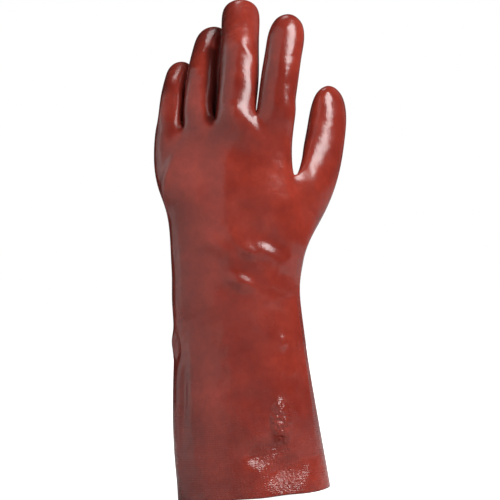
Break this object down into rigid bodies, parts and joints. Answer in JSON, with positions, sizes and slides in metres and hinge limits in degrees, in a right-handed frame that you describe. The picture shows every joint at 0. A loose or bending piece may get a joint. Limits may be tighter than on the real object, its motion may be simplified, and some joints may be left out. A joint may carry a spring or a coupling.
{
  "type": "pvc coated work glove",
  "caption": "Long left-hand gauntlet work glove dipped in glossy red PVC, one seamless hollow skin with softly curled fingers and thumb, open at a flared, plainly cut cuff.",
  "frame": {"origin": "centre of the cuff's opening, in the mean plane of its hem", "axes": "+Z along the forearm from the hem to the fingertips, -Y out of the back of the hand, +X to the thumb's side"},
  "size_m": [0.146, 0.1128, 0.3556],
  "materials": {
    "pvc_coat": "glossy plasticised PVC coat over cotton jersey, soft"
  },
  "bodies": {
    "root": {"coated_glove": "pvc_coat"}
  },
  "joints": []
}
